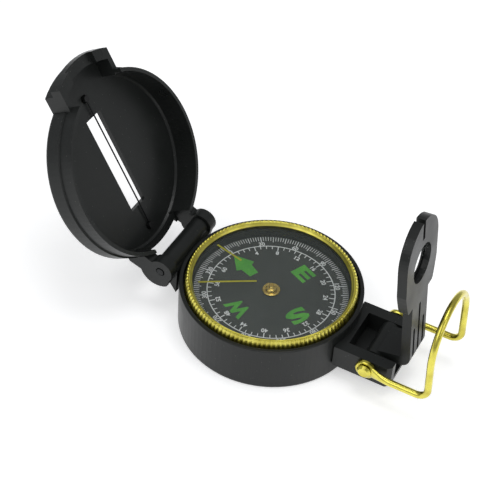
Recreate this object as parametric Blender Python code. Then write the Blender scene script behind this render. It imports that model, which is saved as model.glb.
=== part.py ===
"""Sighting compass: a folding pocket compass with a hinged cover, a turning bezel and a lens arm.

The origin is the middle of the casing's flat bottom. +Z is up, +X points from the cover's hinge to
the eyepiece, and the object is symmetric about the plane Y = 0. Lengths in this file are in
millimetres and become metres in one place, when a mesh is made.
"""

import math

import bmesh
import bpy
from mathutils import Matrix, Vector

MM = 0.001
GAP = 0.3

# Casing: a round cup with a hinge lug at -X and a two-armed fork at +X.
CASING_R = 28.5
CASING_RIM_Z = 16.1
CASING_FLOOR = 1.6
BORE_R = 25.7
REBATE_R = 27.3
REBATE_Z = 13.2
EDGE_ROUND = 0.8

FORK_INNER_Y = 7.2
FORK_OUTER_Y = 10.9
FORK_LOW_Z = 4.7
FORK_TOP_Z = 12.6
FORK_START_X = 26.8
FORK_END_X = 45.4
FORK_CHAMFER = 1.3
FORK_FLOOR_Z = 6.2
PIT_START_X = 30.0

# Bezel, glasses and dial, all turned about Z.
BEZEL_R = 27.0
BEZEL_TOP_Z = 18.1
BEZEL_WINDOW_R = 24.6
CUP_R = 25.4
CUP_WALL = 0.8
CUP_FLOOR = 1.2
CUP_TOP_Z = 14.4
CARD_R = 24.2
CARD_TOP_Z = 12.6
CARD_THICK = 0.8
NORTH_DEG = 155.7
POST_TIP_Z = 11.8
HUB_LOW_Z = 9.9
HUB_CAP_R = 2.8
GLASS_THICK = 0.7
GASKET_THICK = 0.3
MAGNET_SIZE = (26.0, 2.4, 1.6)
MAGNET_OFFSET = 6.0

# Cover, drawn shut: its hinge axis runs along Y through HINGE_X, HINGE_Z.
HINGE_X = -31.4
HINGE_Z = 16.6
COVER_OPEN_DEG = 119.25
COVER_R = 29.2
COVER_STEP_R = 28.7
COVER_RIM_Z = 17.7
COVER_STEP_Z = 22.3
COVER_TOP_Z = 27.8
COVER_PLATE = 1.6
COVER_INNER_R = 27.5
SLOT_X = (-15.4, 17.1)
SLOT_HALF_Y = 3.6
ANCHOR_X = 23.2
BARREL_R = 3.1
LUG_HALF_Y = 10.1
EAR_OUTER_Y = 14.0
EAR_R = 4.0
PIN_R = 1.2
HOOD_HALF_Y = 12.6
HOOD_LOW_Z = 20.5
HOOD_STEP_Z = 24.2
HOOD_LEDGE_X = 36.1
HOOD_TIP_X = 34.3
HOOD_WALL = 1.8
MOUTH_HALF_Y = 6.1
MOUTH_TOP_Z = 22.1
HINGE_GAP_TOP_Z = 24.4
PLUG_R = 1.1
HAIR_R = 0.25

# Eyepiece arm, drawn upright with the axle at its origin, and the thumb loop on the same axle.
AXLE_X = 37.8
AXLE_Z = 10.0
EYEPIECE_LEAN_DEG = 5.7
PLATE_BACK = 11.4
PLATE_THICK = 2.9
PLATE_LOW = 3.3
HEAD_LOW = 24.0
HEAD_CENTRE = 41.0
HEAD_HALF = 11.0
NOTCH_LOW = 45.7
NOTCH_HALF = 0.75
LENS_V = 37.0
LENS_R = 6.2
LENS_THICK = 0.7
STEM_HALF = 5.7
KNUCKLE_HALF = 6.9
KNUCKLE_R = 2.8
AXLE_R = 1.2
WIRE_R = 1.1
LOOP_HALF = 13.2
LOOP_BEND = 3.4
LOOP_X = 57.9
LOOP_TOP_Z = 37.2
LOOP_LEAN = 0.05
EYE_R = 3.2
EYE_THICK = 1.4
HEAD_THICK = 0.9

ROUND_STEPS = 96
SMALL_STEPS = 32

# Cutters run this far past the faces they open.
PAST = 20.0


def material(name, colour, roughness, metallic=0.0, alpha=1.0):
    """A Principled material from a plain linear colour."""
    look = bpy.data.materials.new(name)
    look.use_nodes = True
    shader = look.node_tree.nodes["Principled BSDF"]
    shader.inputs["Base Color"].default_value = (*colour, 1.0)
    shader.inputs["Roughness"].default_value = roughness
    shader.inputs["Metallic"].default_value = metallic
    shader.inputs["Alpha"].default_value = alpha
    return look


def add_object(name, shape, look, parent=None):
    """Turns a bmesh in millimetres into an object in metres, shaded smooth with crisp edges."""
    bmesh.ops.recalc_face_normals(shape, faces=shape.faces)
    bmesh.ops.scale(shape, vec=Vector((MM, MM, MM)), verts=shape.verts)
    mesh = bpy.data.meshes.new(name)
    shape.to_mesh(mesh)
    shape.free()
    mesh.materials.append(look)
    mesh.shade_smooth()
    mesh.set_sharp_from_angle(angle=math.radians(35))
    piece = bpy.data.objects.new(name, mesh)
    bpy.context.collection.objects.link(piece)
    piece.parent = parent
    return piece


def axis_empty(name, x, z, turn_deg=0.0):
    """An empty on a joint's axis, turned about +Y, which carries a moving body's pieces."""
    empty = bpy.data.objects.new(name, None)
    bpy.context.collection.objects.link(empty)
    empty.location = (x * MM, 0.0, z * MM)
    empty.rotation_euler = (0.0, math.radians(turn_deg), 0.0)
    return empty


def combine(target, shape, operation):
    """Adds or cuts a hidden helper solid with an exact Boolean."""
    count = len(target.modifiers)
    helper = add_object(f"{target.name}_{operation.lower()}_{count}", shape, target.data.materials[0])
    helper.parent = target.parent
    helper.hide_render = True
    helper.display_type = "WIRE"
    step = target.modifiers.new(helper.name, "BOOLEAN")
    step.operation = operation
    step.object = helper
    step.solver = "EXACT"


def arc(centre, radius, start_deg, end_deg, steps):
    """Points along an arc, both ends included."""
    points = []
    for i in range(steps + 1):
        angle = math.radians(start_deg + (end_deg - start_deg) * i / steps)
        points.append((centre[0] + radius * math.cos(angle), centre[1] + radius * math.sin(angle)))
    return points


def circle(centre, radius, steps=SMALL_STEPS):
    """Points round a whole circle."""
    return arc(centre, radius, 0.0, 360.0, steps)[:-1]


def turned(profile, steps=ROUND_STEPS):
    """Turns a closed outline of (radius, height) points about Z."""
    shape = bmesh.new()
    rings = []
    for radius, height in profile:
        if radius == 0.0:
            rings.append([shape.verts.new((0.0, 0.0, height))])
            continue
        ring = []
        for i in range(steps):
            angle = 2.0 * math.pi * i / steps
            ring.append(shape.verts.new((radius * math.cos(angle), radius * math.sin(angle), height)))
        rings.append(ring)
    for lower, upper in zip(rings, rings[1:] + rings[:1]):
        if len(lower) == 1 and len(upper) == 1:
            continue
        for i in range(steps):
            j = (i + 1) % steps
            corners = [lower[i % len(lower)], lower[j % len(lower)]]
            corners += [upper[j % len(upper)], upper[i % len(upper)]]
            shape.faces.new(list(dict.fromkeys(corners)))
    return shape


def flat_ring(inner_r, outer_r, low, high):
    """A flat ring round Z."""
    return turned([(inner_r, low), (outer_r, low), (outer_r, high), (inner_r, high)])


def prism(outline, low, high, along="Z"):
    """Extrudes an outline of (x, y) points along Z, or of (x, z) points along Y."""
    shape = bmesh.new()
    ends = []
    for level in (low, high):
        if along == "Z":
            ends.append([shape.verts.new((a, b, level)) for a, b in outline])
        else:
            ends.append([shape.verts.new((a, level, b)) for a, b in outline])
    shape.faces.new(ends[0])
    shape.faces.new(ends[1])
    count = len(outline)
    for i in range(count):
        j = (i + 1) % count
        shape.faces.new((ends[0][i], ends[0][j], ends[1][j], ends[1][i]))
    return shape


def block(low, high):
    """A box between two corners."""
    outline = [(low[0], low[1]), (high[0], low[1]), (high[0], high[1]), (low[0], high[1])]
    return prism(outline, low[2], high[2])


def plate(outline, low, high):
    """Extrudes an outline of (y, z) points along X."""
    shape = prism([(a, b) for a, b in outline], low, high)
    turn = Matrix(((0, 0, 1, 0), (1, 0, 0, 0), (0, 1, 0, 0), (0, 0, 0, 1)))
    bmesh.ops.transform(shape, matrix=turn, verts=shape.verts)
    return shape


def placed(shape, offset=(0.0, 0.0, 0.0), turn_z_deg=0.0):
    """Turns a shape about Z, then moves it."""
    move = Matrix.Translation(Vector(offset)) @ Matrix.Rotation(math.radians(turn_z_deg), 4, "Z")
    bmesh.ops.transform(shape, matrix=move, verts=shape.verts)
    return shape


def tube(points, radius, sides=12):
    """A round bar that follows a smooth row of points."""
    shape = bmesh.new()
    path = [Vector(p) for p in points]
    count = len(path)
    normal = Vector((0.0, 0.0, 1.0))
    rings = []
    for i, point in enumerate(path):
        tangent = (path[min(i + 1, count - 1)] - path[max(i - 1, 0)]).normalized()
        normal = (normal - tangent * normal.dot(tangent)).normalized()
        side = tangent.cross(normal)
        ring = []
        for k in range(sides):
            angle = 2.0 * math.pi * k / sides
            around = math.cos(angle) * normal + math.sin(angle) * side
            ring.append(shape.verts.new(point + radius * around))
        rings.append(ring)
    for first, second in zip(rings, rings[1:]):
        for k in range(sides):
            m = (k + 1) % sides
            shape.faces.new((first[k], first[m], second[m], second[k]))
    shape.faces.new(rings[0])
    shape.faces.new(rings[-1])
    return shape


def make_casing(look):
    """The round cup, the hinge lug with its barrel, and the fork that carries the axle."""
    r = EDGE_ROUND
    profile = [(0.0, 0.0)]
    profile += arc((CASING_R - r, r), r, -90.0, 0.0, 3)
    profile += arc((CASING_R - 0.3, CASING_RIM_Z - 0.3), 0.3, 0.0, 90.0, 2)
    profile += [
        (REBATE_R, CASING_RIM_Z),
        (REBATE_R, REBATE_Z),
        (BORE_R, REBATE_Z),
        (BORE_R, CASING_FLOOR),
        (0.0, CASING_FLOOR),
    ]
    casing = add_object("casing", turned(profile), look)
    combine(casing, make_fork_outline(), "UNION")
    combine(casing, prism(make_lug_outline(), -LUG_HALF_Y, LUG_HALF_Y, "Y"), "UNION")
    pit_end = FORK_END_X + PAST
    pit = block((PIT_START_X, -FORK_INNER_Y, FORK_FLOOR_Z), (pit_end, FORK_INNER_Y, FORK_FLOOR_Z + PAST))
    combine(casing, pit, "DIFFERENCE")
    pin_hole = prism(circle((HINGE_X, HINGE_Z), PIN_R + GAP), -PAST, PAST, "Y")
    combine(casing, pin_hole, "DIFFERENCE")
    axle_hole = prism(circle((AXLE_X, AXLE_Z), AXLE_R + GAP), -PAST, PAST, "Y")
    combine(casing, axle_hole, "DIFFERENCE")
    return casing


def make_fork_outline():
    """The block at the back of the casing, before the pit between its two arms is cut."""
    cut = FORK_CHAMFER
    outline = [
        (FORK_START_X, -FORK_OUTER_Y),
        (FORK_END_X - cut, -FORK_OUTER_Y),
        (FORK_END_X, -FORK_OUTER_Y + cut),
        (FORK_END_X, FORK_OUTER_Y - cut),
        (FORK_END_X - cut, FORK_OUTER_Y),
        (FORK_START_X, FORK_OUTER_Y),
    ]
    return prism(outline, FORK_LOW_Z, FORK_TOP_Z)


def make_lug_outline():
    """The side view of the lug: a barrel on the hinge axis, drawn down into the casing's wall."""
    low_z = 6.0
    wall_x = -28.0
    outline = [(wall_x, low_z), (wall_x + 0.4, CASING_RIM_Z - 1.0)]
    outline += arc((HINGE_X, HINGE_Z), BARREL_R, -10.0, 215.0, 20)
    return outline


def make_dial(look, parent):
    """The capsule cup, its pivot, and the card with its magnets and hub."""
    inner = CUP_R - CUP_WALL
    low = CASING_FLOOR + GAP
    floor = low + CUP_FLOOR
    cup = [(0.0, low), (CUP_R, low), (CUP_R, CUP_TOP_Z), (inner, CUP_TOP_Z), (inner, floor), (0.0, floor)]
    add_object("capsule_cup", turned(cup), look["black"])

    post_z = floor + GAP
    foot_r = 3.0
    stem_r = 0.9
    tip_r = 0.25
    post = [
        (0.0, post_z),
        (foot_r, post_z),
        (foot_r, post_z + stem_r),
        (stem_r, post_z + stem_r),
        (stem_r, HUB_LOW_Z - stem_r),
        (tip_r, POST_TIP_Z),
        (0.0, POST_TIP_Z),
    ]
    add_object("pivot_post", turned(post, SMALL_STEPS), look["steel"])

    card_low = CARD_TOP_Z - CARD_THICK
    neck_r = 1.9
    hole_r = neck_r + GAP
    card = [(hole_r, card_low), (CARD_R, card_low), (CARD_R, CARD_TOP_Z), (hole_r, CARD_TOP_Z)]
    add_object("compass_card", turned(card), look["dial"], parent)
    magnet_low = card_low - GAP - MAGNET_SIZE[2]
    length, width, height = MAGNET_SIZE
    for name, side in (("magnet_east", -1.0), ("magnet_west", 1.0)):
        bar = block((-length / 2, -width / 2, 0.0), (length / 2, width / 2, height))
        bar = placed(bar, (0.0, side * MAGNET_OFFSET, magnet_low))
        add_object(name, placed(bar, turn_z_deg=NORTH_DEG), look["steel"], parent)

    cap_low = CARD_TOP_Z + GAP
    roof_z = cap_low + 0.9
    bore_r = 1.3
    hub = [
        (bore_r, HUB_LOW_Z),
        (neck_r, HUB_LOW_Z),
        (neck_r, cap_low),
        (HUB_CAP_R, cap_low),
        (HUB_CAP_R, cap_low + 0.5),
        (HUB_CAP_R - 0.6, cap_low + 0.8),
        (HUB_CAP_R - 0.6, cap_low + 1.1),
        (1.0, cap_low + 1.6),
        (0.0, cap_low + 1.6),
        (0.0, roof_z),
        (bore_r, roof_z),
    ]
    add_object("card_hub", turned(hub, SMALL_STEPS), look["brass"], parent)
    jewel_r = bore_r - GAP
    jewel_low = POST_TIP_Z + GAP
    jewel_high = roof_z - 0.4
    jewel = [(0.0, jewel_low + GAP), (0.35, jewel_low), (jewel_r, jewel_low)]
    jewel += [(jewel_r, jewel_high), (0.0, jewel_high)]
    add_object("pivot_jewel", turned(jewel, SMALL_STEPS), look["jewel"], parent)


def make_capsule_top(look):
    """The gasket and the fixed glass that close the capsule, and the spring under the bezel."""
    gasket_low = CUP_TOP_Z + GAP
    gasket_high = gasket_low + GASKET_THICK
    gasket = flat_ring(CUP_R - CUP_WALL, CUP_R, gasket_low, gasket_high)
    add_object("capsule_gasket", gasket, look["rubber"])
    glass_low = gasket_high + GAP
    glass_high = glass_low + GLASS_THICK
    glass = [(0.0, glass_low), (CUP_R, glass_low), (CUP_R, glass_high), (0.0, glass_high)]
    add_object("capsule_glass", turned(glass), look["glass"])
    spring_low = REBATE_Z + GAP
    spring = flat_ring(BORE_R + 0.4, REBATE_R - 0.4, spring_low, spring_low + 0.3)
    add_object("wave_spring", spring, look["steel"])


def make_bezel(look, parent):
    """The turning ring and the glass it holds."""
    lip_z = BEZEL_TOP_Z - 0.8
    skirt_z = REBATE_Z + 0.9
    skirt_r = BEZEL_R - 1.1
    ring = [(skirt_r, skirt_z), (BEZEL_R, skirt_z), (BEZEL_R, BEZEL_TOP_Z - 0.5)]
    ring += [(BEZEL_R - 0.5, BEZEL_TOP_Z), (BEZEL_R - 1.2, BEZEL_TOP_Z)]
    ring += [(BEZEL_WINDOW_R, lip_z + 0.3), (BEZEL_WINDOW_R, lip_z), (skirt_r, lip_z)]
    add_object("bezel_ring", turned(ring), look["brass"], parent)
    top = lip_z - GAP
    glass_r = skirt_r - GAP
    glass = [(0.0, top - GLASS_THICK), (glass_r, top - GLASS_THICK), (glass_r, top), (0.0, top)]
    add_object("bezel_glass", turned(glass), look["glass"], parent)


def make_cover(look, parent):
    """The dished cover, drawn shut about its hinge axis, with ears, hood, slot and hollow."""
    low = COVER_RIM_Z
    top = COVER_TOP_Z
    round_r = 1.0
    plate_z = top - COVER_PLATE
    corner = 0.6
    profile = [(0.0, plate_z), (COVER_INNER_R - corner, plate_z), (COVER_INNER_R, plate_z - corner)]
    profile += [(COVER_INNER_R, low), (COVER_STEP_R, low), (COVER_STEP_R, COVER_STEP_Z)]
    profile += [(COVER_R, COVER_STEP_Z + 0.2)]
    profile += arc((COVER_R - round_r, top - round_r), round_r, 0.0, 90.0, 4)
    profile += [(0.0, top)]
    offset = (-HINGE_X, 0.0, -HINGE_Z)
    cover = add_object("cover", placed(turned(profile), offset), look["black"], parent)
    overlap = 0.5
    for side in (-1.0, 1.0):
        inner, outer = sorted((side * (LUG_HALF_Y - overlap), side * EAR_OUTER_Y))
        combine(cover, prism(make_ear_outline(), inner, outer, "Y"), "UNION")
    tiers = ((HOOD_TIP_X, HOOD_STEP_Z - overlap, top - 0.2), (HOOD_LEDGE_X, HOOD_LOW_Z, HOOD_STEP_Z))
    for tip_x, z_low, z_high in tiers:
        combine(cover, placed(prism(make_hood_outline(tip_x, 0.0), z_low, z_high), offset), "UNION")
    below = low - PAST
    inside = prism(make_hood_outline(HOOD_TIP_X, HOOD_WALL), below, plate_z - 0.2)
    combine(cover, placed(inside, offset), "DIFFERENCE")
    mouth = block((PAST, -MOUTH_HALF_Y, below), (HOOD_LEDGE_X + PAST, MOUTH_HALF_Y, MOUTH_TOP_Z))
    combine(cover, placed(mouth, offset), "DIFFERENCE")
    half = LUG_HALF_Y + GAP
    gap = block((-COVER_R - PAST, -half, below), (-PAST, half, HINGE_GAP_TOP_Z))
    combine(cover, placed(gap, offset), "DIFFERENCE")
    slot = block((SLOT_X[0], -SLOT_HALF_Y, below), (SLOT_X[1], SLOT_HALF_Y, top + PAST))
    combine(cover, placed(slot, offset), "DIFFERENCE")
    combine(cover, prism(circle((0.0, 0.0), PIN_R + GAP), -PAST, PAST, "Y"), "DIFFERENCE")
    for x in (-ANCHOR_X, ANCHOR_X):
        socket = prism(circle((x, 0.0), PLUG_R + GAP, 16), below, plate_z + 0.8)
        combine(cover, placed(socket, offset), "DIFFERENCE")
    make_sighting_wire(look, parent, plate_z, offset)


def make_ear_outline():
    """The side view of an ear: a hook from the cover's wall round the hinge pin."""
    outline = arc((0.0, 0.0), EAR_R, -160.0, 20.0, 16)
    outline += [(6.0, 3.0), (6.0, 9.9), (4.6, 9.9)]
    outline += arc((0.2, 1.2), 5.9, 78.0, 188.0, 12)
    return outline


def make_hood_outline(tip_x, inset):
    """The top view of the hood: straight sides and a shallow arc for an end."""
    half = HOOD_HALF_Y - inset
    sweep = 27.0
    radius = HOOD_HALF_Y / math.sin(math.radians(sweep)) - inset
    centre = (tip_x - inset - radius, 0.0)
    reach = math.degrees(math.asin(half / radius))
    start_x = 24.5
    return [(start_x, -half)] + arc(centre, radius, -reach, reach, 12) + [(start_x, half)]


def make_sighting_wire(look, parent, plate_z, offset):
    """The sighting hair stretched along the slot, and the two plugs that hold its ends."""
    reach = ANCHOR_X - PLUG_R - GAP
    wire_z = plate_z - 0.6
    hair = tube([(-reach, 0.0, wire_z), (reach, 0.0, wire_z)], HAIR_R, 8)
    add_object("sighting_wire", placed(hair, offset), look["steel"], parent)
    for name, x in (("wire_plug_rear", -ANCHOR_X), ("wire_plug_front", ANCHOR_X)):
        plug = prism(circle((x, 0.0), PLUG_R, 16), plate_z - 1.2, plate_z + 0.5)
        add_object(name, placed(plug, offset), look["lume"], parent)


def make_eyepiece(look, parent):
    """The lens arm, drawn upright about the axle: a plate on a short foot."""
    front = PLATE_BACK - PLATE_THICK
    arm = add_object("eyepiece_arm", plate(make_plate_outline(), front, PLATE_BACK), look["black"], parent)
    combine(arm, prism(make_foot_outline(), -STEM_HALF, STEM_HALF, "Y"), "UNION")
    knuckle = prism(circle((0.0, 0.0), KNUCKLE_R), -KNUCKLE_HALF, KNUCKLE_HALF, "Y")
    combine(arm, knuckle, "UNION")
    combine(arm, prism(circle((0.0, 0.0), AXLE_R + GAP), -PAST, PAST, "Y"), "DIFFERENCE")
    combine(arm, plate(circle((0.0, LENS_V), LENS_R), 0.0, PAST), "DIFFERENCE")
    seat_r = LENS_R + 0.8
    seat = plate(circle((0.0, LENS_V), seat_r), front - PAST, front + PLATE_THICK - 1.0)
    combine(arm, seat, "DIFFERENCE")
    notch_top = HEAD_CENTRE + HEAD_HALF + PAST
    notch = block((0.0, -NOTCH_HALF, NOTCH_LOW), (PAST, NOTCH_HALF, notch_top))
    combine(arm, notch, "DIFFERENCE")
    groove_half = 0.6
    groove_floor = PLATE_BACK - 0.8
    for y, top in ((-3.4, 14.0), (0.0, 21.7), (3.4, 14.0)):
        groove = block((groove_floor, y - groove_half, -PAST), (PLATE_BACK + PAST, y + groove_half, top))
        combine(arm, groove, "DIFFERENCE")
    glass_r = seat_r - GAP
    clip_x = front + 0.1
    clip_thick = 0.5
    lens_x = clip_x + clip_thick + GAP
    lens = plate(circle((0.0, LENS_V), glass_r), lens_x, lens_x + LENS_THICK)
    add_object("eyepiece_lens", lens, look["glass"], parent)
    clip = plate(circle((0.0, LENS_V), glass_r), clip_x, clip_x + clip_thick)
    clip = add_object("lens_clip", clip, look["black"], parent)
    combine(clip, plate(circle((0.0, LENS_V), LENS_R - 0.2), -PAST, PAST), "DIFFERENCE")


def make_plate_outline():
    """The back view of the lens arm: a narrow stem under a paddle with a round top."""
    right = [(STEM_HALF, PLATE_LOW), (STEM_HALF, HEAD_LOW), (HEAD_HALF - 2.8, HEAD_LOW)]
    right += [(HEAD_HALF - 2.1, HEAD_LOW + 0.4), (HEAD_HALF - 1.2, HEAD_LOW + 3.0)]
    right += [(HEAD_HALF - 0.35, HEAD_LOW + 6.3), (HEAD_HALF, HEAD_LOW + 8.0)]
    right += arc((0.0, HEAD_CENTRE), HEAD_HALF, 0.0, 90.0, 16)
    left = [(-y, z) for y, z in reversed(right[:-1])]
    return right + left


def make_foot_outline():
    """The side view of the foot: flat on top, with the corner under the plate rounded."""
    low = -0.2
    top = 3.4
    inside = 6.0
    back = PLATE_BACK
    front = back - PLATE_THICK
    corner = 3.4
    outline = [(0.0, low), (back - corner, low)]
    outline += arc((back - corner, corner + low), corner, -90.0, 0.0, 6)
    outline += [(back, inside), (front, inside), (front, top), (1.0, top - 0.8), (0.0, top - 0.8)]
    return outline


def loop_path():
    """The wire's centre line from one eye, out along the leg, up, over and back to the other eye."""
    leg_z = 0.1
    half = [(2.6, 12.4, 0.0), (5.5, 12.7, 0.0)]
    corner_x = LOOP_X - AXLE_X
    for i in range(6):
        angle = math.radians(-90.0 + 90.0 * i / 5)
        x = corner_x - LOOP_BEND + LOOP_BEND * math.cos(angle)
        half.append((x, LOOP_HALF, leg_z + LOOP_BEND + LOOP_BEND * math.sin(angle)))
    top = LOOP_TOP_Z - AXLE_Z
    spring_z = top - LOOP_HALF
    for i in range(1, 13):
        angle = math.radians(90.0 * i / 12)
        z = spring_z + LOOP_HALF * math.sin(angle)
        half.append((corner_x - LOOP_LEAN * z, LOOP_HALF * math.cos(angle), z))
    return [(x, -y, z) for x, y, z in half] + [(x, y, z) for x, y, z in reversed(half[:-1])]


def make_thumb_loop(look, parent):
    """The wire loop with a flattened eye at each end, drawn about the axle."""
    loop = add_object("thumb_loop", tube(loop_path(), WIRE_R), look["brass"], parent)
    inner = FORK_OUTER_Y + GAP
    outer = inner + EYE_THICK
    for side in (-1.0, 1.0):
        low, high = sorted((side * inner, side * outer))
        combine(loop, prism(circle((0.0, 0.0), EYE_R, 28), low, high, "Y"), "UNION")
    combine(loop, prism(circle((0.0, 0.0), AXLE_R + GAP, 24), -PAST, PAST, "Y"), "DIFFERENCE")


def make_pins(look):
    """The cover's hinge pin, and the axle with a head outside each eye of the loop."""
    proud = EAR_OUTER_Y + 0.2
    pin = prism(circle((HINGE_X, HINGE_Z), PIN_R, 24), -proud, proud, "Y")
    add_object("hinge_pin", pin, look["steel"])
    reach = FORK_OUTER_Y + EYE_THICK + 2 * GAP
    tip = reach + HEAD_THICK
    head_r = 2.3
    half = [(AXLE_R, reach), (head_r, reach), (head_r, reach + 0.3), (head_r - 0.7, tip), (0.0, tip)]
    profile = [(0.0, -tip)] + [(r, -y) for r, y in reversed(half[:-1])] + half
    axle = turned(profile, 24)
    stand = Matrix.Rotation(math.radians(90.0), 4, "X")
    bmesh.ops.transform(axle, matrix=stand, verts=axle.verts)
    add_object("axle_pin", placed(axle, (AXLE_X, 0.0, AXLE_Z)), look["brass"])


def make_looks():
    """One Principled material for each kind of surface."""
    return {
        "black": material("black_plastic", (0.018, 0.020, 0.019), 0.45),
        "dial": material("dial_paint", (0.030, 0.032, 0.031), 0.6),
        "brass": material("yellow_brass", (0.42, 0.36, 0.05), 0.28, 1.0),
        "steel": material("bright_steel", (0.45, 0.45, 0.45), 0.35, 1.0),
        "rubber": material("gasket_rubber", (0.02, 0.02, 0.02), 0.8),
        "glass": material("clear_glass", (0.95, 0.97, 0.96), 0.02, 0.0, 0.25),
        "jewel": material("ruby_jewel", (0.35, 0.02, 0.04), 0.1),
        "lume": material("pale_plug", (0.55, 0.58, 0.50), 0.5),
    }


def main():
    for old in list(bpy.data.objects):
        bpy.data.objects.remove(old, do_unlink=True)
    look = make_looks()
    make_casing(look["black"])
    make_dial(look, axis_empty("card_axis", 0.0, 0.0))
    make_capsule_top(look)
    make_bezel(look, axis_empty("bezel_axis", 0.0, 0.0))
    make_cover(look, axis_empty("cover_axis", HINGE_X, HINGE_Z, -COVER_OPEN_DEG))
    make_eyepiece(look, axis_empty("eyepiece_axis", AXLE_X, AXLE_Z, -EYEPIECE_LEAN_DEG))
    make_thumb_loop(look, axis_empty("loop_axis", AXLE_X, AXLE_Z))
    make_pins(look)


main()
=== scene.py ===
"""Looks of a folding sighting compass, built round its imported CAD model.

Lengths are in millimetres and become metres when a mesh is made. The casing's flat bottom is at
height 0, +X points from the cover's hinge to the lens arm and +Z is up.
"""

import math

import bmesh
import bpy
from mathutils import Matrix, Vector


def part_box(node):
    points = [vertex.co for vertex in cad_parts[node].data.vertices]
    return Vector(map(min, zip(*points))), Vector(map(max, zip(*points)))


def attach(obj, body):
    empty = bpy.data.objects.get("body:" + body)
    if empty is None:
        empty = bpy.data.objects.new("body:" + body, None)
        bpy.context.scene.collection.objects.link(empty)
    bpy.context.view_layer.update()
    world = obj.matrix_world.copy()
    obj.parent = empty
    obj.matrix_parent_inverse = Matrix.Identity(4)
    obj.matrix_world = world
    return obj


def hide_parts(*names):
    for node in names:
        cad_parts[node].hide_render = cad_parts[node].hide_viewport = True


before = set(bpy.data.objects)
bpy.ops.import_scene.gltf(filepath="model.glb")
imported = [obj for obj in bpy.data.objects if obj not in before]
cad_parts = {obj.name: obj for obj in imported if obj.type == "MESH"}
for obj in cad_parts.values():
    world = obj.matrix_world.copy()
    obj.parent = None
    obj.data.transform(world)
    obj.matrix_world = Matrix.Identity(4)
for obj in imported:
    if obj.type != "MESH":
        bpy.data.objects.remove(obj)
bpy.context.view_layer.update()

MM = 0.001


def corners_mm(node):
    """The lowest and highest corner of a CAD node at rest, in millimetres."""
    low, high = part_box(node)
    return low / MM, high / MM


# Driving sizes, read from the frame.
RING_LOW, RING_HIGH = corners_mm("bezel_ring")
GLASS_TOP = corners_mm("bezel_glass")[1].z
CARD_TOP = corners_mm("compass_card")[1].z
HUB_LOW, HUB_HIGH = corners_mm("card_hub")
AXLE_LOW, AXLE_HIGH = corners_mm("axle_pin")
AXLE = (AXLE_LOW + AXLE_HIGH) / 2
LOOP_HIGH = corners_mm("thumb_loop")[1]
LENS_LOW, LENS_HIGH = corners_mm("eyepiece_lens")

# The card: north's direction, and the radii of its printed rings.
NORTH_DEG = 155.7
PRINT_THICK = 0.03
DEGREE_OUTER_R = 23.9
DEGREE_FIGURE_R = 20.75
MIL_CIRCLE_R = 19.75
MIL_FIGURE_R = 16.85
FIGURE_HEIGHT = 1.55
LETTER_LOW_R = 10.1
LETTER_HEIGHT = 5.6

# The bezel: the knurl and the two painted lines on its glass.
KNURL_TEETH = 120
KNURL_DEPTH = 0.34
LINE_WIDTH = 0.62
LINE_OUTER_R = 22.6
LONG_LINE = (4.7, -147.7)
SHORT_LINE = (12.6, 166.6)

# The thumb loop.
WIRE_R = 1.1
LOOP_HALF = 13.2
LOOP_BEND = 3.4
LOOP_LEAN = 0.05
EYE_THICK = 1.4
EYE_R = 3.2
PIN_HOLE_R = 1.5

# How far edges are rounded on the mouldings, the pins and the hair's plugs.
MOULDED_EDGE = 0.22
PIN_EDGE = 0.15
PLUG_EDGE = 0.12

# The lens leans with its arm.
LENS_LEAN_DEG = 5.7

ROUND = 192


def paint(code):
    """An sRGB hex colour as linear RGBA."""
    channels = [int(code[i:i + 2], 16) / 255 for i in (1, 3, 5)]
    return (*[c / 12.92 if c <= 0.04045 else ((c + 0.055) / 1.055) ** 2.4 for c in channels], 1.0)


def per_m(size_mm):
    """The texture scale, in repeats per metre, for a pattern of that size."""
    return 1.0 / (size_mm * MM)


def add_node(tree, kind, settings=None, links=None):
    """Adds a shader node, sets its sockets and properties, and joins sockets to other nodes' outputs."""
    made = tree.nodes.new(kind)
    for name, value in (settings or {}).items():
        if name in made.inputs:
            made.inputs[name].default_value = value
        else:
            setattr(made, name, value)
    for name, source in (links or {}).items():
        tree.links.new(source, made.inputs[name])
    return made


def new_surface(name, settings):
    """A material with one Principled shader, and the coordinates its patterns start from."""
    look = bpy.data.materials.new(name)
    look.use_nodes = True
    tree = look.node_tree
    shader = tree.nodes["Principled BSDF"]
    for socket, value in settings.items():
        shader.inputs[socket].default_value = value
    place = add_node(tree, "ShaderNodeTexCoord").outputs["Object"]
    return look, tree, shader, place


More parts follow.
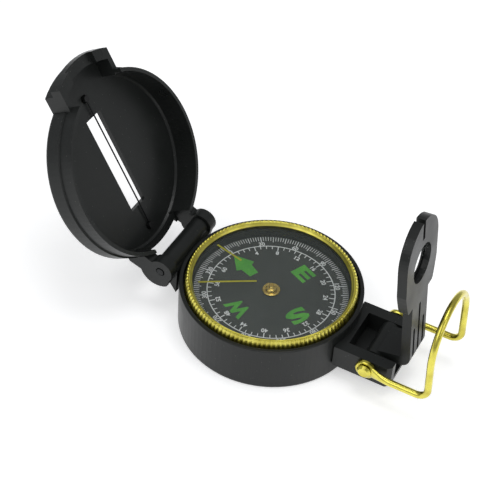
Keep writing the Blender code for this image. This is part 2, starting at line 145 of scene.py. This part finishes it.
def moulded_abs(name, dark, light, roughness):
    """ABS injected into a spark-eroded mould: a fine even grain, cloudy gloss and a few specks of dust."""
    look, tree, shader, place = new_surface(name, {"IOR": 1.5, "Specular IOR Level": 0.27})
    cloud = add_node(tree, "ShaderNodeTexNoise", {"Scale": per_m(11.0), "Detail": 4.0}, {"Vector": place})
    # Real spark grain is about 0.1 mm and wouldn't show, so it is drawn at 0.4 mm.
    grain = add_node(tree, "ShaderNodeTexNoise", {"Scale": per_m(0.4), "Detail": 2.0}, {"Vector": place})
    specks = add_node(tree, "ShaderNodeTexVoronoi", {"Scale": per_m(1.9)}, {"Vector": place})
    mixed = add_node(
        tree, "ShaderNodeMixRGB", {"Color1": paint(dark), "Color2": paint(light)},
        {"Fac": cloud.outputs["Fac"]},
    )
    dust = add_node(
        tree, "ShaderNodeMapRange", {"From Min": 0.075, "From Max": 0.045, "To Max": 0.4},
        {"Value": specks.outputs["Distance"]},
    )
    dusty = add_node(
        tree, "ShaderNodeMixRGB", {"Color2": paint("#7b7d76")},
        {"Fac": dust.outputs["Result"], "Color1": mixed.outputs["Color"]},
    )
    gloss = add_node(
        tree, "ShaderNodeMapRange",
        {"From Min": 0.3, "From Max": 0.7, "To Min": roughness - 0.07, "To Max": roughness + 0.08},
        {"Value": cloud.outputs["Fac"]},
    )
    bump = add_node(
        tree, "ShaderNodeBump", {"Strength": 0.3, "Distance": 0.05 * MM}, {"Height": grain.outputs["Fac"]}
    )
    tree.links.new(dusty.outputs["Color"], shader.inputs["Base Color"])
    tree.links.new(gloss.outputs["Result"], shader.inputs["Roughness"])
    tree.links.new(bump.outputs["Normal"], shader.inputs["Normal"])
    return look


def lacquered_brass(name, bright, deep, roughness, draw_mm):
    """Polished brass under clear lacquer: faint draw marks and a few dull patches."""
    look, tree, shader, place = new_surface(
        name, {"Metallic": 1.0, "Coat Weight": 0.5, "Coat Roughness": 0.08, "Coat IOR": 1.5}
    )
    tarnish = add_node(tree, "ShaderNodeTexNoise", {"Scale": per_m(5.0), "Detail": 5.0}, {"Vector": place})
    drawn = add_node(tree, "ShaderNodeMapping", {"Scale": draw_mm}, {"Vector": place})
    marks = add_node(
        tree, "ShaderNodeTexNoise", {"Scale": per_m(1.0), "Detail": 3.0}, {"Vector": drawn.outputs["Vector"]}
    )
    patch = add_node(
        tree, "ShaderNodeMapRange", {"From Min": 0.42, "From Max": 0.72}, {"Value": tarnish.outputs["Fac"]}
    )
    colour = add_node(
        tree, "ShaderNodeMixRGB", {"Color1": paint(bright), "Color2": paint(deep)},
        {"Fac": patch.outputs["Result"]},
    )
    gloss = add_node(
        tree, "ShaderNodeMapRange", {"To Min": roughness - 0.03, "To Max": roughness + 0.07},
        {"Value": marks.outputs["Fac"]},
    )
    bump = add_node(
        tree, "ShaderNodeBump", {"Strength": 0.06, "Distance": 0.01 * MM}, {"Height": marks.outputs["Fac"]}
    )
    tree.links.new(colour.outputs["Color"], shader.inputs["Base Color"])
    tree.links.new(gloss.outputs["Result"], shader.inputs["Roughness"])
    tree.links.new(bump.outputs["Normal"], shader.inputs["Normal"])
    return look


def drawn_steel(name, code, dull, roughness):
    """Bright drawn steel: fine lines along the bar and slightly uneven gloss."""
    look, tree, shader, place = new_surface(name, {"Metallic": 1.0})
    along = add_node(tree, "ShaderNodeMapping", {"Scale": (1.0, 0.08, 1.0)}, {"Vector": place})
    lines = add_node(
        tree, "ShaderNodeTexNoise", {"Scale": per_m(0.25), "Detail": 2.0},
        {"Vector": along.outputs["Vector"]},
    )
    colour = add_node(
        tree, "ShaderNodeMixRGB", {"Color1": paint(code), "Color2": paint(dull)},
        {"Fac": lines.outputs["Fac"]},
    )
    gloss = add_node(
        tree, "ShaderNodeMapRange", {"To Min": roughness - 0.08, "To Max": roughness + 0.12},
        {"Value": lines.outputs["Fac"]},
    )
    bump = add_node(
        tree, "ShaderNodeBump", {"Strength": 0.2, "Distance": 0.01 * MM}, {"Height": lines.outputs["Fac"]}
    )
    tree.links.new(colour.outputs["Color"], shader.inputs["Base Color"])
    tree.links.new(gloss.outputs["Result"], shader.inputs["Roughness"])
    tree.links.new(bump.outputs["Normal"], shader.inputs["Normal"])
    return look


def screen_print(name, code, dull, roughness, grain_mm):
    """Ink or matt paint laid by a screen: thin and grainy, so the coat under it shows through in dots."""
    look, tree, shader, place = new_surface(name, {"IOR": 1.48, "Specular IOR Level": 0.3})
    grain = add_node(
        tree, "ShaderNodeTexNoise", {"Scale": per_m(grain_mm), "Detail": 3.0}, {"Vector": place}
    )
    cloud = add_node(tree, "ShaderNodeTexNoise", {"Scale": per_m(7.0), "Detail": 2.0}, {"Vector": place})
    blend = add_node(
        tree, "ShaderNodeMath", {"operation": "MULTIPLY"}
    )
    tree.links.new(grain.outputs["Fac"], blend.inputs[0])
    tree.links.new(cloud.outputs["Fac"], blend.inputs[1])
    thin = add_node(
        tree, "ShaderNodeMapRange", {"From Min": 0.15, "From Max": 0.4}, {"Value": blend.outputs["Value"]}
    )
    colour = add_node(
        tree, "ShaderNodeMixRGB", {"Color1": paint(dull), "Color2": paint(code)},
        {"Fac": thin.outputs["Result"]},
    )
    gloss = add_node(
        tree, "ShaderNodeMapRange", {"To Min": roughness - 0.1, "To Max": roughness + 0.1},
        {"Value": grain.outputs["Fac"]},
    )
    bump = add_node(
        tree, "ShaderNodeBump", {"Strength": 0.25, "Distance": 0.02 * MM}, {"Height": grain.outputs["Fac"]}
    )
    tree.links.new(colour.outputs["Color"], shader.inputs["Base Color"])
    tree.links.new(gloss.outputs["Result"], shader.inputs["Roughness"])
    tree.links.new(bump.outputs["Normal"], shader.inputs["Normal"])
    return look


def float_glass(name, marks_mm):
    """A thin polished pane, nearly clear: only its faint sheen and the wiped marks on it show."""
    look, tree, shader, place = new_surface(
        name, {"Base Color": paint("#a8b2ac"), "IOR": 1.52, "Alpha": 0.03}
    )
    wiped = add_node(
        tree, "ShaderNodeTexNoise", {"Scale": per_m(marks_mm), "Detail": 4.0}, {"Vector": place}
    )
    gloss = add_node(
        tree, "ShaderNodeMapRange", {"To Min": 0.03, "To Max": 0.12}, {"Value": wiped.outputs["Fac"]}
    )
    tree.links.new(gloss.outputs["Result"], shader.inputs["Roughness"])
    return look


def ground_ruby(name):
    """Synthetic ruby, ground and polished: clear deep red with a faint inner cloud."""
    look, tree, shader, place = new_surface(
        name, {"IOR": 1.77, "Transmission Weight": 0.8, "Roughness": 0.05}
    )
    cloud = add_node(tree, "ShaderNodeTexNoise", {"Scale": per_m(0.6)}, {"Vector": place})
    colour = add_node(
        tree, "ShaderNodeMixRGB", {"Color1": paint("#b01830"), "Color2": paint("#8c1024")},
        {"Fac": cloud.outputs["Fac"]},
    )
    tree.links.new(colour.outputs["Color"], shader.inputs["Base Color"])
    return look


def moulded_rubber(name):
    """Nitrile rubber: dull, dark and slightly mottled."""
    look, tree, shader, place = new_surface(name, {"IOR": 1.52})
    mottle = add_node(tree, "ShaderNodeTexNoise", {"Scale": per_m(1.5), "Detail": 4.0}, {"Vector": place})
    colour = add_node(
        tree, "ShaderNodeMixRGB", {"Color1": paint("#161616"), "Color2": paint("#242422")},
        {"Fac": mottle.outputs["Fac"]},
    )
    gloss = add_node(
        tree, "ShaderNodeMapRange", {"To Min": 0.7, "To Max": 0.9}, {"Value": mottle.outputs["Fac"]}
    )
    tree.links.new(colour.outputs["Color"], shader.inputs["Base Color"])
    tree.links.new(gloss.outputs["Result"], shader.inputs["Roughness"])
    return look


def make_piece(name, shape, look, body, stands_for=(), crisp_deg=35.0):
    """Turns a bmesh in millimetres into a piece that rides on a body."""
    bmesh.ops.recalc_face_normals(shape, faces=shape.faces)
    bmesh.ops.scale(shape, vec=Vector((MM, MM, MM)), verts=shape.verts)
    mesh = bpy.data.meshes.new(name)
    shape.to_mesh(mesh)
    shape.free()
    mesh.materials.append(look)
    mesh.shade_smooth()
    mesh.set_sharp_from_angle(angle=math.radians(crisp_deg))
    piece = bpy.data.objects.new(name, mesh)
    bpy.context.scene.collection.objects.link(piece)
    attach(piece, body)
    if stands_for:
        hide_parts(*stands_for)
    return piece


def finish_node(name, look, round_mm=0.0):
    """Gives a CAD node its finish and, for a moulding, small rounded edges."""
    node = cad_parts[name]
    node.data.materials.clear()
    node.data.materials.append(look)
    if round_mm:
        weld = node.modifiers.new("weld", "WELD")
        weld.merge_threshold = 0.002 * MM
        rounding = node.modifiers.new("rounding", "BEVEL")
        rounding.width = round_mm * MM
        rounding.segments = 2
        rounding.limit_method = "ANGLE"
        rounding.angle_limit = math.radians(40.0)
        rounding.harden_normals = True
        rounding.use_clamp_overlap = True
        # Keeps the shading of the large flat faces level where thin triangles meet them.
        level = node.modifiers.new("level shading", "WEIGHTED_NORMAL")
        level.keep_sharp = True


def ring_of(profile, steps=ROUND, depth=None):
    """Turns a closed outline of (radius, height) points about Z. depth is each one's knurl: in, down."""
    shape = bmesh.new()
    columns = []
    for i in range(steps):
        angle = 2.0 * math.pi * i / steps
        tooth = 0.5 - 0.5 * math.cos(KNURL_TEETH * angle)
        column = []
        for k, (radius, height) in enumerate(profile):
            inward, down = depth[k] if depth else (0.0, 0.0)
            r = radius - inward * tooth
            column.append(shape.verts.new((r * math.cos(angle), r * math.sin(angle), height - down * tooth)))
        columns.append(column)
    count = len(profile)
    for i in range(steps):
        here, there = columns[i], columns[(i + 1) % steps]
        for k in range(count):
            m = (k + 1) % count
            shape.faces.new((here[k], there[k], there[m], here[m]))
    bmesh.ops.remove_doubles(shape, verts=shape.verts, dist=1e-5)
    return shape


def arc(centre, radius, start_deg, end_deg, steps):
    """Points along an arc, both ends included."""
    points = []
    for i in range(steps + 1):
        angle = math.radians(start_deg + (end_deg - start_deg) * i / steps)
        points.append((centre[0] + radius * math.cos(angle), centre[1] + radius * math.sin(angle)))
    return points


def make_bezel(brass, line_paint):
    """The knurled ring and the two lines painted on the glass it holds."""
    outer = RING_HIGH.x
    low, top = RING_LOW.z, RING_HIGH.z
    window = outer - 2.6
    lip = GLASS_TOP + 0.06
    skirt = outer - 1.1
    profile, depth = [], []

    def trace(points, inward=0.0, down=0.0):
        profile.extend(points)
        depth.extend([(inward, down)] * len(points))

    trace([(skirt, low), (outer - 0.4, low)])
    trace([(outer, low + 0.2), (outer - 0.62, top - 0.7)], KNURL_DEPTH * 0.7)
    trace([(outer - 0.72, top - 0.3), (outer - 0.86, top - 0.08)], KNURL_DEPTH * 0.7, KNURL_DEPTH * 0.4)
    trace([(outer - 1.04, top), (outer - 1.36, top - 0.03)], 0.0, KNURL_DEPTH * 0.7)
    trace([(outer - 1.46, top - 0.3)])
    trace(arc((outer - 1.72, top - 0.28), 0.2, 20.0, 160.0, 6))
    trace([(outer - 1.96, top - 0.32), (window + 0.12, lip + 0.16)])
    trace([(window + 0.02, lip + 0.06), (window, lip)])
    trace([(skirt, lip)])
    ring = ring_of(profile, KNURL_TEETH * 6, depth)
    make_piece("knurled_ring", ring, brass, "bezel", ["bezel_ring"], crisp_deg=60.0)
    for name, (inner_r, angle_deg) in (("long_line", LONG_LINE), ("short_line", SHORT_LINE)):
        low_end, high_end = (inner_r, -LINE_WIDTH / 2), (LINE_OUTER_R, LINE_WIDTH / 2)
        stripe = bar(low_end, high_end, GLASS_TOP + 0.01, PRINT_THICK)
        turn(stripe, angle_deg)
        make_piece(name, stripe, line_paint, "bezel")


def bar(low, high, level, thick):
    """A flat bar lying in a horizontal plane."""
    shape = bmesh.new()
    return add_bar(shape, low, high, level, thick)


def add_bar(shape, low, high, level, thick, angle_deg=0.0):
    """Adds a flat bar, turned about Z, to a shape."""
    spin = Matrix.Rotation(math.radians(angle_deg), 4, "Z")
    made = []
    for z in (level, level + thick):
        for x, y in ((low[0], low[1]), (high[0], low[1]), (high[0], high[1]), (low[0], high[1])):
            made.append(shape.verts.new(spin @ Vector((x, y, z))))
    for order in ((0, 1, 2, 3), (4, 5, 6, 7), (0, 1, 5, 4), (1, 2, 6, 5), (2, 3, 7, 6), (3, 0, 4, 7)):
        shape.faces.new([made[i] for i in order])
    return shape


def turn(shape, angle_deg):
    """Turns a shape about Z."""
    bmesh.ops.rotate(shape, cent=(0, 0, 0), matrix=Matrix.Rotation(math.radians(angle_deg), 3, "Z"),
                     verts=shape.verts)


def on_card(bearing_deg):
    """The angle from +X, counter-clockwise, of a compass bearing on the card."""
    return NORTH_DEG - bearing_deg


def make_degree_scale(ink):
    """Two-degree ticks round the card's edge, longer at each ten degrees and longest at each thirty."""
    shape = bmesh.new()
    for bearing in range(0, 360, 2):
        length, width = 1.75, 0.2
        if bearing % 10 == 0:
            length, width = 2.3, 0.26
        if bearing % 30 == 0:
            length, width = 2.5, 0.3
        add_bar(
            shape, (DEGREE_OUTER_R - length, -width / 2), (DEGREE_OUTER_R, width / 2), CARD_TOP, PRINT_THICK,
            on_card(bearing),
        )
    make_piece("degree_scale", shape, ink, "card")


def make_mil_scale(ink):
    """A circle with ticks that point inwards at each hundred mils, longer at each four hundred."""
    half = 0.16
    rim = [(MIL_CIRCLE_R - half, CARD_TOP), (MIL_CIRCLE_R + half, CARD_TOP)]
    rim += [(MIL_CIRCLE_R + half, CARD_TOP + PRINT_THICK), (MIL_CIRCLE_R - half, CARD_TOP + PRINT_THICK)]
    shape = ring_of(rim)
    for hundred in range(64):
        length, width = (1.7, 0.3) if hundred % 4 == 0 else (1.15, 0.25)
        inner = (MIL_CIRCLE_R - half - length, -width / 2)
        outer = (MIL_CIRCLE_R - half - 0.01, width / 2)
        add_bar(shape, inner, outer, CARD_TOP, PRINT_THICK, on_card(hundred * 360 / 64))
    make_piece("mil_scale", shape, ink, "card")


def letters(text, height, width=None, bold=0.0):
    """Printed text lying flat, its foot at Y = 0 and its middle at X = 0, as a bmesh."""
    curve = bpy.data.curves.new(text, "FONT")
    curve.body = text
    curve.extrude = PRINT_THICK / 2
    curve.offset = bold
    curve.resolution_u = 3
    carrier = bpy.data.objects.new(text, curve)
    bpy.context.scene.collection.objects.link(carrier)
    bpy.context.view_layer.update()
    depsgraph = bpy.context.evaluated_depsgraph_get()
    mesh = bpy.data.meshes.new_from_object(carrier.evaluated_get(depsgraph))
    bpy.data.objects.remove(carrier)
    shape = bmesh.new()
    shape.from_mesh(mesh)
    bpy.data.meshes.remove(mesh)
    bmesh.ops.remove_doubles(shape, verts=shape.verts, dist=1e-4)
    xs = [v.co.x for v in shape.verts]
    ys = [v.co.y for v in shape.verts]
    tall = height / (max(ys) - min(ys))
    wide = width / (max(xs) - min(xs)) if width else tall
    middle = (max(xs) + min(xs)) / 2
    foot = min(ys)
    for vert in shape.verts:
        vert.co = Vector(((vert.co.x - middle) * wide, (vert.co.y - foot) * tall, vert.co.z))
    return shape


def set_round(shape, foot_r, bearing_deg):
    """Moves flat text to its place on the card, its top outwards."""
    spin = Matrix.Rotation(math.radians(on_card(bearing_deg) - 90.0), 4, "Z")
    lift = Matrix.Translation(Vector((0.0, foot_r, CARD_TOP + PRINT_THICK / 2)))
    bmesh.ops.transform(shape, matrix=spin @ lift, verts=shape.verts)
    return shape


def make_figures(name, values, middle_r, ink):
    """The figures of one scale, joined into one printed piece."""
    joined = bmesh.new()
    for text, bearing in values:
        figure = set_round(letters(text, FIGURE_HEIGHT, bold=0.025), middle_r - FIGURE_HEIGHT / 2, bearing)
        step = bpy.data.meshes.new(text)
        figure.to_mesh(step)
        figure.free()
        joined.from_mesh(step)
        bpy.data.meshes.remove(step)
    make_piece(name, joined, ink, "card")


def make_letters(green):
    """The north arrow and the letters of the other three quarters."""
    half_tip, tip, barb, neck, tail = 3.45, 19.0, 13.1, 12.4, 8.6
    outline = [(0.0, tip), (-half_tip, barb), (-2.0, neck), (-1.55, tail)]
    outline += [(-x, y) for x, y in reversed(outline[1:])]
    shape = bmesh.new()
    for level in (-PRINT_THICK / 2, PRINT_THICK / 2):
        shape.faces.new([shape.verts.new((x, y, level)) for x, y in outline])
    shape.verts.ensure_lookup_table()
    count = len(outline)
    for i in range(count):
        j = (i + 1) % count
        shape.faces.new([shape.verts[k] for k in (i, j, j + count, i + count)])
    make_piece("north_arrow", set_round(shape, 0.0, 0.0), green, "card")
    for text, bearing, width in (("E", 90.0, 6.0), ("S", 180.0, 7.0), ("W", 270.0, 7.6)):
        shape = set_round(letters(text, LETTER_HEIGHT, width, bold=0.045), LETTER_LOW_R, bearing)
        make_piece(f"letter_{text}", shape, green, "card")


def make_hub(brass):
    """The turned brass cap in the card's middle: a flange, a groove and a raised centre."""
    low, top = HUB_LOW.z, HUB_HIGH.z
    flange_z = top - 1.6
    r = HUB_HIGH.x
    neck = r - 0.9
    profile = [(0.0, low + 3.0), (neck - 0.6, low + 3.0), (neck - 0.6, low), (neck, low), (neck, flange_z)]
    profile += [(r - 0.12, flange_z), (r, flange_z + 0.12), (r, flange_z + 0.34)]
    profile += [(r - 0.14, flange_z + 0.48)]
    profile += [(r - 0.55, flange_z + 0.5), (r - 0.66, flange_z + 0.38), (r - 0.86, flange_z + 0.38)]
    profile += [(r - 0.98, flange_z + 0.56), (r - 1.1, flange_z + 1.0), (r - 1.35, flange_z + 1.24)]
    profile += [(r - 1.7, flange_z + 1.3), (r - 1.78, flange_z + 1.16), (r - 1.95, flange_z + 1.16)]
    profile += [(r - 2.05, flange_z + 1.42), (r - 2.3, flange_z + 1.58), (0.0, flange_z + 1.6)]
    make_piece("hub_cap", ring_of(profile, 96), brass, "card", ["card_hub"], crisp_deg=50.0)


def loop_line():
    """The wire's centre line from one eye round to the other, in millimetres."""
    corner_x = LOOP_HIGH.x - WIRE_R
    leg_z = AXLE.z + 0.1
    half = [Vector((AXLE.x + 1.9, 12.2, AXLE.z)), Vector((AXLE.x + 3.6, 12.5, AXLE.z + 0.02))]
    half += [Vector((AXLE.x + 5.6, 12.9, leg_z)), Vector((AXLE.x + 8.0, LOOP_HALF, leg_z))]
    for x, z in arc((corner_x - LOOP_BEND, leg_z + LOOP_BEND), LOOP_BEND, -90.0, 0.0, 12):
        half.append(Vector((x, LOOP_HALF, z)))
    spring_z = LOOP_HIGH.z - WIRE_R - LOOP_HALF
    for y, z in arc((0.0, spring_z), LOOP_HALF, 0.0, 90.0, 28):
        half.append(Vector((corner_x - LOOP_LEAN * (z - AXLE.z), y, z)))
    far = [Vector((p.x, -p.y, p.z)) for p in half]
    return far + list(reversed(half[:-1]))


def make_thumb_loop(brass):
    """The bent wire, flattened at its ends, and the eye at each end that turns on the axle."""
    shape = bmesh.new()
    line = loop_line()
    sides = 24
    normal = Vector((0.0, 0.0, 1.0))
    rings = []
    for i, point in enumerate(line):
        tangent = (line[min(i + 1, len(line) - 1)] - line[max(i - 1, 0)]).normalized()
        normal = (normal - tangent * normal.dot(tangent)).normalized()
        side = tangent.cross(normal)
        reach = min((point - line[0]).length, (point - line[-1]).length)
        squash = 0.62 + 0.38 * min(1.0, reach / 4.5)
        ring = []
        for k in range(sides):
            angle = 2.0 * math.pi * k / sides
            swell = WIRE_R * math.cos(angle) * (1.9 - 0.9 * min(1.0, reach / 4.5)) * normal
            ring.append(shape.verts.new(point + swell + WIRE_R * squash * math.sin(angle) * side))
        rings.append(ring)
    for first, second in zip(rings, rings[1:]):
        for k in range(sides):
            m = (k + 1) % sides
            shape.faces.new((first[k], first[m], second[m], second[k]))
    shape.faces.new(rings[0])
    shape.faces.new(rings[-1])
    make_piece("wire_loop", shape, brass, "thumb_loop", ["thumb_loop"])
    inner = AXLE_HIGH.y - 0.9 - 0.3 - EYE_THICK
    edge = 0.3
    eye = [(PIN_HOLE_R, inner), (EYE_R - edge, inner), (EYE_R, inner + edge)]
    outer = inner + EYE_THICK
    eye += [(EYE_R, outer - edge), (EYE_R - edge, outer), (PIN_HOLE_R, outer)]
    for name, side in (("loop_eye_near", 1.0), ("loop_eye_far", -1.0)):
        disc = ring_of(eye, 48)
        across = Matrix.Rotation(math.radians(90.0 * side), 4, "X")
        move = Matrix.Translation(Vector((AXLE.x, 0.0, AXLE.z)))
        bmesh.ops.transform(disc, matrix=move @ across, verts=disc.verts)
        make_piece(name, disc, brass, "thumb_loop")


def make_lens(glass):
    """The magnifying lens: thin and bulging to both sides, seated in the arm."""
    shape = bmesh.new()
    middle = (LENS_LOW + LENS_HIGH) / 2
    radius = (LENS_HIGH.y - LENS_LOW.y) / 2
    rings, steps = 8, 64
    for face in (-1.0, 1.0):
        grid = []
        for k in range(rings + 1):
            r = radius * k / rings
            bulge = face * (0.35 - 0.2 * (k / rings) ** 2)
            turns = [2 * math.pi * i / steps for i in range(steps)]
            grid.append([shape.verts.new((bulge, r * math.cos(a), r * math.sin(a))) for a in turns])
        for near, far in zip(grid, grid[1:]):
            for i in range(steps):
                j = (i + 1) % steps
                shape.faces.new((near[i], near[j], far[j], far[i]))
    bmesh.ops.remove_doubles(shape, verts=shape.verts, dist=1e-5)
    rim = [e for e in shape.edges if e.is_boundary]
    bmesh.ops.bridge_loops(shape, edges=rim)
    tilt = Matrix.Rotation(math.radians(LENS_LEAN_DEG), 4, "Y")
    bmesh.ops.transform(shape, matrix=Matrix.Translation(middle) @ tilt, verts=shape.verts)
    make_piece("magnifier", shape, glass, "eyepiece", ["eyepiece_lens"])


def make_looks():
    """Each finish, made once."""
    return {
        "abs": moulded_abs("moulded black ABS", "#1a1c1b", "#242625", 0.34),
        "capsule": moulded_abs("moulded black capsule ABS", "#111212", "#181919", 0.4),
        "brass": lacquered_brass("lacquered yellow brass", "#e2d85c", "#bdb03c", 0.25, (1.0, 1.0, 0.3)),
        "knurled": lacquered_brass("knurled yellow brass", "#e9df66", "#c6b944", 0.36, (1.0, 1.0, 0.3)),
        "turned": lacquered_brass("turned yellow brass", "#dcc062", "#c2a64c", 0.24, (0.5, 0.5, 2.0)),
        "steel": drawn_steel("drawn bright steel", "#c6c7c5", "#8b8c8a", 0.3),
        "pin": drawn_steel("blackened steel pin", "#3a3b3c", "#2a2b2b", 0.4),
        "magnet": drawn_steel("ground magnet steel", "#77787a", "#646567", 0.45),
        "card": screen_print("matt black dial paint", "#404341", "#363937", 0.6, 0.5),
        "ink": screen_print("grey dial ink", "#fbfdfc", "#dfe4e2", 0.55, 0.35),
        "green": screen_print("green luminous ink", "#62c040", "#479e34", 0.6, 0.45),
        "line": screen_print("yellow sight-line paint", "#b7b43e", "#99952f", 0.45, 0.4),
        "glass": float_glass("clear float glass", 6.0),
        "lens": float_glass("polished lens glass", 4.0),
        "ruby": ground_ruby("ground synthetic ruby"),
        "rubber": moulded_rubber("moulded nitrile rubber"),
    }


def dress_nodes(look):
    """Finishes for the CAD nodes that stay."""
    for name, finish, round_mm in (
        ("casing", "abs", MOULDED_EDGE), ("cover", "abs", MOULDED_EDGE),
        ("eyepiece_arm", "abs", MOULDED_EDGE), ("lens_clip", "capsule", 0.0),
        ("capsule_cup", "capsule", 0.0), ("capsule_gasket", "rubber", 0.0),
        ("capsule_glass", "glass", 0.0), ("bezel_glass", "glass", 0.0), ("compass_card", "card", 0.0),
        ("pivot_post", "steel", 0.0), ("pivot_jewel", "ruby", 0.0), ("magnet_east", "magnet", 0.0),
        ("magnet_west", "magnet", 0.0), ("wave_spring", "steel", 0.0), ("hinge_pin", "pin", PIN_EDGE),
        ("axle_pin", "brass", PIN_EDGE), ("sighting_wire", "pin", 0.0),
        ("wire_plug_rear", "capsule", PLUG_EDGE), ("wire_plug_front", "capsule", PLUG_EDGE),
    ):
        finish_node(name, look[finish], round_mm)


def make_camera():
    """A long lens that looks down across the open compass."""
    azimuth, elevation, roll = math.radians(25.196), math.radians(44.075), math.radians(4.162)
    target = Vector((-19.611, 24.289, 0.0))
    distance = 461.419
    flat = math.cos(elevation)
    back = Vector((math.sin(azimuth) * flat, -math.cos(azimuth) * flat, math.sin(elevation)))
    level = Vector((math.cos(azimuth), math.sin(azimuth), 0.0))
    rise = back.cross(level)
    right = math.cos(roll) * level + math.sin(roll) * rise
    up = math.cos(roll) * rise - math.sin(roll) * level
    data = bpy.data.cameras.new("camera")
    data.lens = 100.73
    data.sensor_width = 36.0
    data.clip_start = 0.01
    data.clip_end = 20.0
    camera = bpy.data.objects.new("camera", data)
    bpy.context.scene.collection.objects.link(camera)
    turned = Matrix((right, up, back)).transposed().to_4x4()
    camera.matrix_world = Matrix.Translation((target + back * distance) * MM) @ turned
    bpy.context.scene.camera = camera


def add_softbox(name, place, aim, size, power):
    """A square studio light that faces a point, all in metres."""
    data = bpy.data.lights.new(name, "AREA")
    data.size = size
    data.energy = power
    light = bpy.data.objects.new(name, data)
    bpy.context.scene.collection.objects.link(light)
    light.location = place
    light.rotation_mode = "QUATERNION"
    light.rotation_quaternion = (Vector(aim) - Vector(place)).to_track_quat("-Z", "Y")


def make_studio():
    """A pale floor, an even pale surround and three softboxes."""
    floor_look, tree, shader, place = new_surface(
        "pale matt floor", {"Roughness": 0.9, "Specular IOR Level": 0.1}
    )
    faint = add_node(tree, "ShaderNodeTexNoise", {"Scale": 6.0}, {"Vector": place})
    tone = add_node(
        tree, "ShaderNodeMixRGB", {"Color1": paint("#fbfbfb"), "Color2": paint("#f7f7f7")},
        {"Fac": faint.outputs["Fac"]},
    )
    tree.links.new(tone.outputs["Color"], shader.inputs["Base Color"])
    shader.inputs["Emission Color"].default_value = (1.0, 1.0, 1.0, 1.0)
    shader.inputs["Emission Strength"].default_value = 0.45
    shape = bmesh.new()
    bmesh.ops.create_grid(shape, x_segments=1, y_segments=1, size=6.0)
    mesh = bpy.data.meshes.new("floor")
    shape.to_mesh(mesh)
    shape.free()
    mesh.materials.append(floor_look)
    floor = bpy.data.objects.new("floor", mesh)
    bpy.context.scene.collection.objects.link(floor)
    floor.location.z = -0.02 * MM
    world = bpy.data.worlds.new("surround")
    bpy.context.scene.world = world
    world.use_nodes = True
    world.node_tree.nodes["Background"].inputs["Color"].default_value = (0.95, 0.97, 1.0, 1.0)
    world.node_tree.nodes["Background"].inputs["Strength"].default_value = 0.36
    add_softbox("key", (-0.35, -0.9, 1.0), (0, 0, 0.02), 0.9, 3.8)
    add_softbox("side", (1.1, -0.2, 0.8), (0, 0, 0.02), 0.8, 2.6)
    add_softbox("top", (0.1, 0.1, 1.5), (0, 0, 0.02), 0.6, 4.6)


def main():
    look = make_looks()
    dress_nodes(look)
    make_bezel(look["knurled"], look["line"])
    make_degree_scale(look["ink"])
    make_mil_scale(look["ink"])
    make_figures("degree_figures", [(str(b), b) for b in range(0, 360, 30)], DEGREE_FIGURE_R, look["ink"])
    mils = [(str(m), m * 360 / 64) for m in range(4, 64, 4)]
    make_figures("mil_figures", mils, MIL_FIGURE_R, look["ink"])
    make_letters(look["green"])
    make_hub(look["turned"])
    make_thumb_loop(look["brass"])
    make_lens(look["lens"])
    make_camera()
    make_studio()
    bpy.context.scene.view_settings.view_transform = "Standard"


main()
